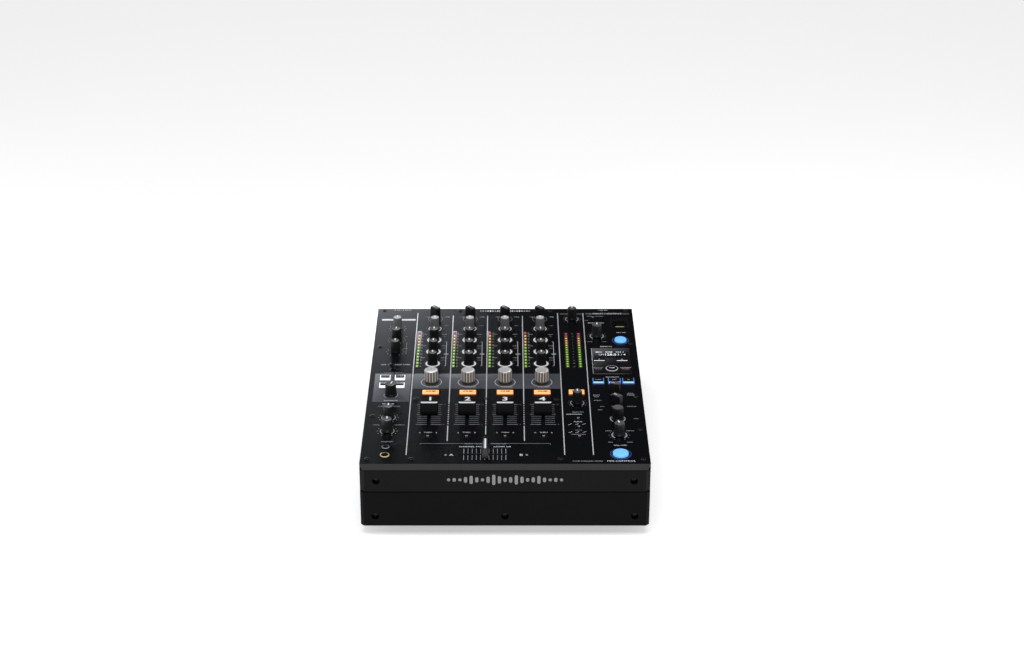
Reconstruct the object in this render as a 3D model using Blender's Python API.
"""Four-channel DJ mixer, in metres, +Z up, front facing -Y, origin at the middle of its footprint.

Every sub-part is one closed object. Knobs turn about their own Z, fader caps slide in the panel's
slots and buttons travel down, so each has its origin on the top panel at its own axis.
"""

import math

import bmesh
import bpy
from mathutils import Matrix

MM = 0.001

# Driving dimensions, in millimetres.
CASE_WIDTH = 320.2
PLATE_DEPTH = 396.0
LIP = 4.8
SOCKET_REACH = 8.3
FOOT_HEIGHT = 15.0
BODY_HEIGHT = 76.0
TALLEST_CONTROL = 16.9
SHEET = 2.0
WALL = 1.5
FASCIA_LOW = -32.4
LOWER_FRONT_TOP = -33.5
GAP = 0.3
CORNER = 4.8
LOWER_CORNER = 3.6
REAR_FACE = 395.7
SIDE_START = 1.2

HALF_WIDTH = CASE_WIDTH / 2
DEPTH = LIP + PLATE_DEPTH + SOCKET_REACH
FRONT_EDGE = LIP - DEPTH / 2
PANEL_TOP = FOOT_HEIGHT + BODY_HEIGHT

SHAFT_RADIUS = 3.0
SHAFT_HOLE = 3.9
SHAFT_REACH = 5.0
HOUSING_TOP = -5.7
BOARD_TOP = -11.0
BOARD_THICKNESS = 1.6
BUTTON_CLEARANCE = 0.5
STEM_REACH = 5.0

# The controls, as X from the centre line and Y back from the panel's front edge.
CHANNELS = (-86.8, -43.4, 0.0, 43.4)
SELECTOR_ROW = 366.0
TRIM_ROW = 338.5
EQ_ROWS = (("hi", 307.0), ("mid", 275.0), ("low", 243.0))
COLOR_ROW = 194.5
CUE_ROW = 166.9
FADER_ROW = 117.0
FADER_FORWARD = 24.5
FADER_BACK = 20.5
ASSIGN_ROW = 60.8
CROSSFADER = (-21.8, 21.5)
CROSS_TRAVEL = 22.5
MASTER_COLUMN = 83.5
MASTER_ROW = 366.0
BOOTH_ROW = 142.5
MASTER_CUE_ROW = 167.5
CURVE_ROWS = (103.0, 83.0, 60.8)
LEFT_COLUMN = -133.0
LEFT_KNOBS = (
    ("mic_level_knob", 339.0, "small_grey"),
    ("mic_hi_knob", 307.0, "small_black"),
    ("mic_low_knob", 274.5, "small_black"),
    ("parameter_knob", 162.0, "wide_black"),
    ("headphone_mixing_knob", 107.0, "medium_black"),
    ("headphone_level_knob", 75.0, "medium_black"),
)
RIGHT_KNOBS = (
    ("send_return_knob", (112.8, 318.0), "medium_black"),
    ("effect_select_knob", (127.8, 161.0), "selector"),
    ("effect_channel_knob", (128.8, 131.0), "selector"),
    ("effect_time_knob", (128.5, 104.0), "wide_black"),
    ("effect_depth_knob", (128.5, 65.5), "medium_black"),
)
ROUND_BUTTONS = (
    ("upper_round_button", (141.4, 305.6), 7.5),
    ("effect_on_button", (128.0, 22.0), 9.0),
)
MINI_JACK = (-133.0, 38.0)
PHONES_JACK = (-133.0, 19.4)
USB_RECESS = (132.6, 152.5, 342.6, 370.0)
DISPLAY = (104.0, 151.5, 215.0, 284.0)
MIC_SWITCH = (-133.0, 226.0)
UTILITY_SWITCH = (112.5, 368.0)

# Turned outlines, as (radius, height above the panel), from the skirt's foot to the top.
KNOB_OUTLINES = {
    "small_black": ((6.3, 0.8), (6.3, 2.2), (5.9, 2.6), (5.5, 15.2), (4.9, 15.8)),
    "small_grey": ((6.0, 0.8), (6.0, 2.0), (5.5, 2.4), (5.3, 15.4), (4.8, 15.9)),
    "medium_black": ((6.9, 0.8), (6.9, 2.4), (6.2, 3.0), (5.8, 15.4), (5.2, 16.0)),
    "wide_black": ((7.2, 0.8), (7.2, 2.4), (6.6, 3.0), (6.3, 14.6), (5.7, 15.2)),
    "color_silver": ((8.8, 0.8), (8.8, 1.8), (8.6, 2.4), (8.1, 16.2), (7.6, 16.7)),
}
SKIRT_FOOT = 0.8
SELECTOR_SKIRT = 6.7
SELECTOR_SKIRT_TOP = 2.6
SELECTOR_BAR = ((3.1, 0.8), (3.1, 4.7), (2.2, 5.9), (0.8, 6.2))
INPUT_TURN = 45.0
SELECTOR_TURNS = {"effect_select_knob": 76.0, "effect_channel_knob": 50.0}


def finish(name, colour, roughness, metallic=0.0):
    """A Principled material, made once for each name."""
    material = bpy.data.materials.get(name)
    if material:
        return material
    material = bpy.data.materials.new(name)
    material.use_nodes = True
    shader = material.node_tree.nodes["Principled BSDF"]
    shader.inputs["Base Color"].default_value = (*colour, 1.0)
    shader.inputs["Roughness"].default_value = roughness
    shader.inputs["Metallic"].default_value = metallic
    return material


def place(x, y, z=0.0):
    """World position, in metres, of a point given on the panel, in millimetres."""
    return (x * MM, (y + FRONT_EDGE) * MM, (z + PANEL_TOP) * MM)


def add_object(name, mesh_data, material, location=(0.0, 0.0, 0.0), smooth=False):
    """An object from a bmesh whose points are in millimetres about its origin."""
    bmesh.ops.recalc_face_normals(mesh_data, faces=mesh_data.faces)
    bmesh.ops.scale(mesh_data, vec=(MM, MM, MM), verts=mesh_data.verts)
    mesh = bpy.data.meshes.new(name)
    mesh_data.to_mesh(mesh)
    mesh_data.free()
    if smooth:
        mesh.shade_smooth()
        mesh.set_sharp_from_angle(angle=math.radians(35))
    if material:
        mesh.materials.append(material)
    item = bpy.data.objects.new(name, mesh)
    item.location = location
    bpy.context.scene.collection.objects.link(item)
    return item


def ring_points(radius, sides, z):
    """Points round a circle, with flats facing X and Y."""
    points = []
    for i in range(sides):
        angle = math.pi * (2 * i + 1) / sides
        points.append((radius * math.cos(angle), radius * math.sin(angle), z))
    return points


def loft(mesh_data, rings):
    """Closed skin through rings of equal length, with a cap on the first and the last."""
    loops = [[mesh_data.verts.new(point) for point in ring] for ring in rings]
    count = len(loops[0])
    for low, high in zip(loops, loops[1:]):
        for i in range(count):
            j = (i + 1) % count
            mesh_data.faces.new((low[i], low[j], high[j], high[i]))
    mesh_data.faces.new(list(reversed(loops[0])))
    mesh_data.faces.new(loops[-1])


def turned(outline, sides, centre=(0.0, 0.0), mesh_data=None):
    """Solid of revolution about Z through centre, from (radius, z) pairs."""
    mesh_data = mesh_data or bmesh.new()
    rings = []
    for radius, z in outline:
        circle = ring_points(radius, sides, z)
        rings.append([(x + centre[0], y + centre[1], z) for x, y, _ in circle])
    loft(mesh_data, rings)
    return mesh_data


def box(low, high, mesh_data=None):
    """Axis-aligned box between two corners."""
    mesh_data = mesh_data or bmesh.new()
    (x0, y0, z0), (x1, y1, z1) = low, high
    corners = ((x0, y0), (x1, y0), (x1, y1), (x0, y1))
    loft(mesh_data, [[(x, y, z) for x, y in corners] for z in (z0, z1)])
    return mesh_data


def prism(outline, z0, z1, mesh_data=None):
    """Upright prism over a plan outline."""
    mesh_data = mesh_data or bmesh.new()
    loft(mesh_data, [[(x, y, z) for x, y in outline] for z in (z0, z1)])
    return mesh_data


def turned_along_y(outline, sides, centre, mesh_data=None):
    """Solid of revolution about a line along Y through (x, z), from (radius, y) pairs."""
    mesh_data = mesh_data or bmesh.new()
    rings = []
    for radius, y in outline:
        rings.append([(u + centre[0], y, v + centre[1]) for u, v, _ in ring_points(radius, sides, 0.0)])
    loft(mesh_data, rings)
    return mesh_data


def apply_boolean(item, tool_data, operation):
    """Adds a Boolean whose tool is a hidden object made from a bmesh in the item's own frame."""
    name = f"{item.name}_{operation.lower()}_{len(item.modifiers)}"
    tool = add_object(name, tool_data, None, item.location)
    tool.hide_render = True
    tool.display_type = "WIRE"
    step = item.modifiers.new(operation.title(), "BOOLEAN")
    step.operation = operation
    step.solver = "EXACT"
    step.object = tool
    return step


# Shared lists of controls


def knob_places():
    """Every turning control, as (node name, (x, y), kind)."""
    found = []
    for number, x in enumerate(CHANNELS, 1):
        found.append((f"ch{number}_input_selector", (x, SELECTOR_ROW), "selector"))
        found.append((f"ch{number}_trim_knob", (x, TRIM_ROW), "small_grey"))
        for band, y in EQ_ROWS:
            found.append((f"ch{number}_{band}_knob", (x, y), "small_black"))
        found.append((f"ch{number}_color_knob", (x, COLOR_ROW), "color_silver"))
    found.append(("master_level_knob", (MASTER_COLUMN, MASTER_ROW), "small_black"))
    found.append(("booth_level_knob", (MASTER_COLUMN, BOOTH_ROW), "small_black"))
    found.extend((name, (LEFT_COLUMN, y), kind) for name, y, kind in LEFT_KNOBS)
    found.extend(RIGHT_KNOBS)
    return found


def cue_places():
    """The rectangular lit buttons, as (node name, (x, y), (width, depth))."""
    found = []
    for number, x in enumerate(CHANNELS, 1):
        found.append((f"ch{number}_cue_button", (x, CUE_ROW), (20.5, 11.8)))
    found.append(("master_cue_button", (MASTER_COLUMN, MASTER_CUE_ROW), (19.5, 12.6)))
    return found


def switch_places():
    """Slots of the small slide switches, as (x, y, width, depth)."""
    slots = [(x, ASSIGN_ROW, 7.0, 3.4) for x in CHANNELS]
    slots.extend((MASTER_COLUMN, y, 7.0, 3.4) for y in CURVE_ROWS)
    slots.append((*UTILITY_SWITCH, 11.0, 3.6))
    slots.append((*MIC_SWITCH, 11.0, 4.6))
    return slots


# Structure


def lip_outline():
    """Side view of the top panel with its folded front lip, as (y, z)."""
    return (
        (PLATE_DEPTH, 0.0),
        (0.0, 0.0),
        (-LIP, -LIP),
        (-LIP, -LIP - 0.9),
        (-LIP + 1.8, -LIP - 0.9),
        (0.9, -SHEET),
        (PLATE_DEPTH, -SHEET),
    )


def panel_blank():
    """The folded top panel: its lip narrows at 45 degrees towards the front, as a mitre."""
    mesh_data = bmesh.new()
    sides = []
    for sign in (-1, 1):
        sides.append([(sign * (HALF_WIDTH + min(y, 0.0)), y, z) for y, z in lip_outline()])
    loft(mesh_data, sides)
    return mesh_data


def panel_bosses():
    """Socket bosses and the USB tray under the panel, and the two collars on it."""
    mesh_data = turned(((7.4, -15.0), (7.4, -1.0)), 12, PHONES_JACK)
    turned(((4.8, -1.0), (4.8, 0.8)), 12, PHONES_JACK, mesh_data)
    turned(((5.2, -13.0), (5.2, -1.0)), 12, MINI_JACK, mesh_data)
    turned(((3.9, -1.0), (3.9, 0.6)), 12, MINI_JACK, mesh_data)
    x0, x1, y0, y1 = USB_RECESS
    box((x0 - WALL, y0 - WALL, -16.0), (x1 + WALL, y1 + WALL, -1.0), mesh_data)
    return mesh_data


def panel_holes():
    """Every opening through the top panel."""
    mesh_data = bmesh.new()
    for _, spot, _ in knob_places():
        turned(((SHAFT_HOLE, -SHEET - 2.0), (SHAFT_HOLE, 2.0)), 8, spot, mesh_data)
    for _, (x, y), (width, depth) in cue_places():
        half_x = width / 2 + BUTTON_CLEARANCE
        half_y = depth / 2 + BUTTON_CLEARANCE
        box((x - half_x, y - half_y, -4.0), (x + half_x, y + half_y, 2.0), mesh_data)
    for _, spot, radius in ROUND_BUTTONS:
        clear = radius + BUTTON_CLEARANCE
        turned(((clear, -4.0), (clear, 2.0)), 16, spot, mesh_data)
    for x in CHANNELS:
        low = (x - 1.7, FADER_ROW - FADER_FORWARD - 3.2, -4.0)
        box(low, (x + 1.7, FADER_ROW + FADER_BACK + 3.2, 2.0), mesh_data)
    x, y = CROSSFADER
    box((x - CROSS_TRAVEL - 3.2, y - 1.7, -4.0), (x + CROSS_TRAVEL + 3.2, y + 1.7, 2.0), mesh_data)
    for x, y, width, depth in switch_places():
        box((x - width / 2, y - depth / 2, -4.0), (x + width / 2, y + depth / 2, 2.0), mesh_data)
    x0, x1, y0, y1 = DISPLAY
    box((x0, y0, -4.0), (x1, y1, 2.0), mesh_data)
    turned(((3.3, -20.0), (3.3, 3.0)), 12, PHONES_JACK, mesh_data)
    turned(((1.8, -20.0), (1.8, 3.0)), 8, MINI_JACK, mesh_data)
    x0, x1, y0, y1 = USB_RECESS
    box((x0, y0, -14.5), (x1, y1, 3.0), mesh_data)
    return mesh_data


def make_faceplate():
    """Top panel with lip, socket bosses, USB tray and the holes for every control."""
    paint = finish("faceplate_paint", (0.028, 0.029, 0.034), 0.42, 0.3)
    panel = add_object("faceplate", panel_blank(), paint, place(0.0, 0.0))
    apply_boolean(panel, panel_bosses(), "UNION")
    apply_boolean(panel, panel_holes(), "DIFFERENCE")


def fascia_outline(thickness):
    """Plan of the upper fascia: a flat front with 45-degree returns to the case's sides."""
    front = -LIP
    outer = HALF_WIDTH - GAP
    bend = outer - CORNER
    slant = thickness * math.tan(math.radians(22.5))
    return (
        (-outer, front + CORNER),
        (-bend, front),
        (bend, front),
        (outer, front + CORNER),
        (outer - thickness * math.sqrt(2), front + CORNER),
        (bend - slant, front + thickness),
        (-bend + slant, front + thickness),
        (-outer + thickness * math.sqrt(2), front + CORNER),
    )


def make_front_fascia():
    """Upper front panel, with two deep-set screw holes."""
    paint = finish("fascia_paint", (0.013, 0.013, 0.013), 0.5, 0.2)
    top = -LIP - 0.9 - 0.8
    blank = prism(fascia_outline(SHEET), FASCIA_LOW, top)
    fascia = add_object("front_fascia", blank, paint, place(0.0, 0.0))
    holes = bmesh.new()
    for x in (-142.0, 142.0):
        turned_along_y(((4.3, -10.0), (4.3, 5.0)), 12, (x, -19.2), holes)
    apply_boolean(fascia, holes, "DIFFERENCE")


def tub_outline(inset):
    """Plan of the lower case, open at the back where the inset is above 0."""
    front = -LIP + inset
    side = HALF_WIDTH - inset
    cut = LOWER_CORNER - inset * (2 - math.sqrt(2))
    back = REAR_FACE + (10.0 if inset else 0.0)
    return (
        (-side, front + cut),
        (-side + cut, front),
        (side - cut, front),
        (side, front + cut),
        (side, back),
        (-side, back),
    )


def make_chassis_tub():
    """Lower case in one folded sheet: floor, two full-height sides and the lower front."""
    paint = finish("chassis_paint", (0.010, 0.010, 0.010), 0.5, 0.2)
    blank = prism(tub_outline(0.0), -BODY_HEIGHT, -SHEET - GAP)
    tub = add_object("chassis_tub", blank, paint, place(0.0, 0.0))
    apply_boolean(tub, prism(tub_outline(WALL), -BODY_HEIGHT + WALL, 10.0), "DIFFERENCE")
    window = box((-HALF_WIDTH - 5.0, -20.0, LOWER_FRONT_TOP), (HALF_WIDTH + 5.0, SIDE_START, 10.0))
    apply_boolean(tub, window, "DIFFERENCE")
    holes = bmesh.new()
    for x in (-143.7, 0.0, 143.7):
        turned_along_y(((4.3, -10.0), (4.3, 5.0)), 12, (x, -63.9), holes)
    apply_boolean(tub, holes, "DIFFERENCE")


# Rear sockets, as seen from behind the centre line: X and Z on the rear panel.
RCA_COLUMNS = (-118.0, -100.0, -82.0, -64.0, -46.0, -28.0, -10.0, 8.0)
RCA_ROWS = (-22.0, -40.0)
JACK_COLUMNS = (-118.0, -98.0, -78.0, -58.0)
JACK_ROW = -61.0
XLR_PLACES = ((34.0, -28.0), (64.0, -28.0))
XLR_RADIUS = 8.6
BOOTH_JACKS = ((34.0, -59.0), (54.0, -59.0))
MIC_PLACE = (-145.0, -40.0)
INLET = (104.0, 132.0, -66.0, -45.0)
ROCKER = (104.0, 126.0, -33.0, -17.0)
POSTS = ((-24.0, -61.0), (-6.0, -61.0))


def rear_bosses():
    """Barrels, nuts and flanges that stand out behind the rear panel, and the pockets in front of it."""
    mesh_data = bmesh.new()
    out = PLATE_DEPTH + SOCKET_REACH
    inside = REAR_FACE - 1.0
    for x in RCA_COLUMNS:
        for z in RCA_ROWS:
            turned_along_y(((4.2, inside), (4.2, out)), 8, (x, z), mesh_data)
    for x, z in [(x, JACK_ROW) for x in JACK_COLUMNS] + list(BOOTH_JACKS):
        turned_along_y(((5.6, REAR_FACE - 12.0), (5.6, REAR_FACE + 2.6)), 12, (x, z), mesh_data)
    for x, z in XLR_PLACES:
        turned_along_y(((11.6, REAR_FACE - 14.0), (11.6, REAR_FACE + 1.6)), 16, (x, z), mesh_data)
    x, z = MIC_PLACE
    turned_along_y(((10.6, REAR_FACE - 14.0), (10.6, REAR_FACE + 1.6)), 16, (x, z), mesh_data)
    for x, z in POSTS:
        turned_along_y(((3.6, inside), (3.6, REAR_FACE + 7.0)), 10, (x, z), mesh_data)
    x0, x1, z0, z1 = INLET
    box((x0 - 3.0, REAR_FACE - 20.0, z0 - 2.5), (x1 + 3.0, REAR_FACE + 2.0, z1 + 2.5), mesh_data)
    x0, x1, z0, z1 = ROCKER
    box((x0, inside, z0), (x1, REAR_FACE + 2.4, z1), mesh_data)
    return mesh_data


def rear_bores():
    """The hollows of the rear sockets."""
    mesh_data = bmesh.new()
    out = REAR_FACE + 20.0
    for x, z in [(x, JACK_ROW) for x in JACK_COLUMNS] + list(BOOTH_JACKS):
        turned_along_y(((3.3, REAR_FACE - 10.5), (3.3, out)), 12, (x, z), mesh_data)
    for x, z in XLR_PLACES:
        turned_along_y(((XLR_RADIUS, REAR_FACE - 12.5), (XLR_RADIUS, out)), 16, (x, z), mesh_data)
    x, z = MIC_PLACE
    turned_along_y(((XLR_RADIUS, REAR_FACE - 12.5), (XLR_RADIUS, out)), 16, (x, z), mesh_data)
    x0, x1, z0, z1 = INLET
    box((x0, REAR_FACE - 18.0, z0), (x1, out, z1), mesh_data)
    return mesh_data


def make_rear_panel():
    """Rear panel between the case's sides, with every socket's barrel, nut and hollow."""
    paint = finish("rear_paint", (0.012, 0.012, 0.013), 0.5, 0.2)
    side = HALF_WIDTH - WALL - GAP
    sheet = box((-side, REAR_FACE - 1.5, -BODY_HEIGHT + WALL + GAP), (side, REAR_FACE, -SHEET - GAP))
    panel = add_object("rear_panel", sheet, paint, place(0.0, 0.0))
    apply_boolean(panel, rear_bosses(), "UNION")
    apply_boolean(panel, rear_bores(), "DIFFERENCE")


def make_display_module():
    """Glossy display block, standing a little proud of its cut-out in the panel."""
    gloss = finish("display_gloss", (0.006, 0.006, 0.007), 0.12)
    x0, x1, y0, y1 = DISPLAY
    inset = 0.4
    rim = 1.4
    mesh_data = bmesh.new()
    layers = ((inset, -8.0), (inset, 0.2), (rim, 0.9))
    rings = []
    for back, z in layers:
        rings.append(
            (
                (x0 + back, y0 + back, z),
                (x1 - back, y0 + back, z),
                (x1 - back, y1 - back, z),
                (x0 + back, y1 - back, z),
            )
        )
    loft(mesh_data, rings)
    add_object("display_module", mesh_data, gloss, place(0.0, 0.0))


def make_control_board():
    """Circuit board under the panel with the pots', faders' and buttons' housings on it."""
    fibre = finish("board_fibre", (0.02, 0.12, 0.06), 0.6)
    bottom = BOARD_TOP - BOARD_THICKNESS
    outline = (
        (-118.0, 12.0),
        (150.0, 12.0),
        (150.0, 334.0),
        (126.0, 334.0),
        (126.0, 380.0),
        (-150.0, 380.0),
        (-150.0, 52.0),
        (-118.0, 52.0),
    )
    board = add_object("control_board", prism(outline, bottom, BOARD_TOP), fibre, place(0.0, 0.0))
    housings = bmesh.new()
    for _, (x, y), _ in knob_places():
        box((x - 4.8, y - 4.8, BOARD_TOP - 0.5), (x + 4.8, y + 4.8, HOUSING_TOP), housings)
    for name, (x, y), _ in cue_places() + list(ROUND_BUTTONS):
        box((x - 3.0, y - 3.0, BOARD_TOP - 0.5), (x + 3.0, y + 3.0, HOUSING_TOP), housings)
    for x in CHANNELS:
        low = (x - 4.0, FADER_ROW - 35.0, BOARD_TOP - 0.5)
        box(low, (x + 4.0, FADER_ROW + 35.0, HOUSING_TOP), housings)
    x, y = CROSSFADER
    box((x - 35.0, y - 4.0, BOARD_TOP - 0.5), (x + 35.0, y + 4.0, HOUSING_TOP), housings)
    apply_boolean(board, housings, "UNION")


def make_power_supply():
    """Open-frame supply on the floor, behind the mains inlet: tray, transformer, capacitors, heatsink."""
    tray_z = -BODY_HEIGHT + WALL + GAP
    grey = finish("supply_metal", (0.35, 0.35, 0.36), 0.4, 0.9)
    tray = box((66.0, 255.0, tray_z), (150.0, 366.0, tray_z + 2.0))
    supply = add_object("power_supply", tray, grey, place(0.0, 0.0))
    parts = box((96.0, 300.0, tray_z + 1.0), (130.0, 330.0, tray_z + 28.0))
    box((70.0, 262.0, tray_z + 1.0), (73.0, 350.0, tray_z + 34.0), parts)
    for x in (90.0, 112.0, 134.0):
        turned(((8.0, tray_z + 1.0), (8.0, tray_z + 30.0)), 10, (x, 274.0), parts)
    apply_boolean(supply, parts, "UNION")


def make_feet():
    """Four turned rubber feet, just under the floor."""
    rubber = finish("foot_rubber", (0.015, 0.015, 0.015), 0.85)
    outline = ((17.0, 0.0), (18.4, 1.2), (19.2, FOOT_HEIGHT - GAP))
    spots = (
        ("foot_front_left", -118.0, 55.0),
        ("foot_front_right", 118.0, 55.0),
        ("foot_rear_left", -118.0, 345.0),
        ("foot_rear_right", 118.0, 345.0),
    )
    for name, x, y in spots:
        add_object(name, turned(outline, 16), rubber, place(x, y, -PANEL_TOP), smooth=True)


# Controls

KNOB_FINISHES = {
    "small_black": ("knob_black", (0.018, 0.018, 0.018), 0.45, 0.0),
    "medium_black": ("knob_black", (0.018, 0.018, 0.018), 0.45, 0.0),
    "wide_black": ("knob_black", (0.018, 0.018, 0.018), 0.45, 0.0),
    "selector": ("knob_black", (0.018, 0.018, 0.018), 0.45, 0.0),
    "small_grey": ("knob_grey", (0.22, 0.22, 0.23), 0.45, 0.0),
    "color_silver": ("knob_silver", (0.62, 0.58, 0.54), 0.28, 0.9),
}


def knob_mesh(kind):
    """Turned knob with its shaft, about its own axis."""
    outline = [(SHAFT_RADIUS, -SHAFT_REACH)]
    outline.append((SHAFT_RADIUS, KNOB_OUTLINES[kind][0][1]))
    outline.extend(KNOB_OUTLINES[kind])
    return turned(outline, 16)


def bar_ring(share, z):
    """Outline of a selector's bar at one height, in the same order as a 16-sided circle."""
    quarter = [(x * share, y * share) for x, y in SELECTOR_BAR]
    back = quarter + [(-x, y) for x, y in reversed(quarter)]
    front = [(-x, -y) for x, y in back]
    return [(x, y, z) for x, y in back + front]


def selector_mesh():
    """Rotary selector: its shaft, a round skirt and a bar that stands across it."""
    mesh_data = bmesh.new()
    rings = [
        ring_points(SHAFT_RADIUS, 16, -SHAFT_REACH),
        ring_points(SHAFT_RADIUS, 16, SKIRT_FOOT),
        ring_points(SELECTOR_SKIRT, 16, SKIRT_FOOT),
        ring_points(SELECTOR_SKIRT, 16, SELECTOR_SKIRT_TOP - 0.4),
        ring_points(SELECTOR_SKIRT - 0.2, 16, SELECTOR_SKIRT_TOP),
        bar_ring(1.0, SELECTOR_SKIRT_TOP),
        bar_ring(0.96, TALLEST_CONTROL - 1.0),
        bar_ring(0.84, TALLEST_CONTROL),
    ]
    loft(mesh_data, rings)
    return mesh_data


def make_knobs():
    """Every turning control, standing on its own axis, with each selector at its resting step."""
    for name, (x, y), kind in knob_places():
        mesh_data = selector_mesh() if kind == "selector" else knob_mesh(kind)
        material = finish(*KNOB_FINISHES[kind])
        knob = add_object(name, mesh_data, material, place(x, y), smooth=kind != "selector")
        if kind == "selector":
            knob.rotation_euler.z = math.radians(SELECTOR_TURNS.get(name, INPUT_TURN))


def rectangle(half_x, half_y, z):
    """Corners of a level rectangle about the origin."""
    return ((half_x, -half_y, z), (half_x, half_y, z), (-half_x, half_y, z), (-half_x, -half_y, z))


def make_cue_buttons():
    """Rectangular lit buttons, each in its own cut-out with a stem below."""
    orange = finish("cue_orange", (0.95, 0.42, 0.09), 0.4)
    for name, (x, y), (width, depth) in cue_places():
        mesh_data = bmesh.new()
        rings = []
        for inset, z in ((0.0, -3.4), (0.0, 1.2), (0.5, 1.6)):
            half_x = width / 2 - inset
            half_y = depth / 2 - inset
            rings.append(rectangle(half_x, half_y, z))
        loft(mesh_data, rings)
        add_object(name, mesh_data, orange, place(x, y))


def make_round_buttons():
    """The two round lit buttons."""
    blue = finish("button_blue", (0.22, 0.55, 0.95), 0.35)
    for name, (x, y), radius in ROUND_BUTTONS:
        outline = ((radius, -3.4), (radius, 2.2), (radius - 0.7, 2.9))
        add_object(name, turned(outline, 16), blue, place(x, y), smooth=True)


def fader_mesh(width, depth, height, crest, stem_x, stem_y):
    """Fader cap: a foot, a waist and a crest, with a stem down through its slot."""
    mesh_data = bmesh.new()
    rings = []
    layers = (
        (stem_x, stem_y, -STEM_REACH),
        (stem_x, stem_y, 1.2),
        (width, depth, 1.2),
        (width, depth, 5.0),
        (width * 0.97, depth * 0.86, 8.0),
        (width * 0.92, crest, height),
    )
    for size_x, size_y, z in layers:
        half_x = size_x / 2
        half_y = size_y / 2
        rings.append(rectangle(half_x, half_y, z))
    loft(mesh_data, rings)
    return mesh_data


def make_faders():
    """Four channel fader caps at mid travel and the crossfader cap across them."""
    black = finish("fader_black", (0.012, 0.012, 0.012), 0.4)
    for number, x in enumerate(CHANNELS, 1):
        mesh_data = fader_mesh(20.4, 12.4, 14.4, 4.8, 2.0, 4.0)
        add_object(f"ch{number}_fader_cap", mesh_data, black, place(x, FADER_ROW))
    silver = finish("fader_silver", (0.5, 0.5, 0.5), 0.35, 0.6)
    mesh_data = fader_mesh(23.0, 9.0, 14.0, 4.6, 2.0, 4.0)
    quarter_turn = Matrix.Rotation(math.pi / 2, 3, "Z")
    bmesh.ops.rotate(mesh_data, cent=(0, 0, 0), matrix=quarter_turn, verts=mesh_data.verts)
    x, y = CROSSFADER
    add_object("crossfader_cap", mesh_data, silver, place(x, y))


def main():
    for item in list(bpy.data.objects):
        bpy.data.objects.remove(item)
    make_faceplate()
    make_front_fascia()
    make_chassis_tub()
    make_rear_panel()
    make_display_module()
    make_control_board()
    make_power_supply()
    make_feet()
    make_knobs()
    make_cue_buttons()
    make_round_buttons()
    make_faders()


main()
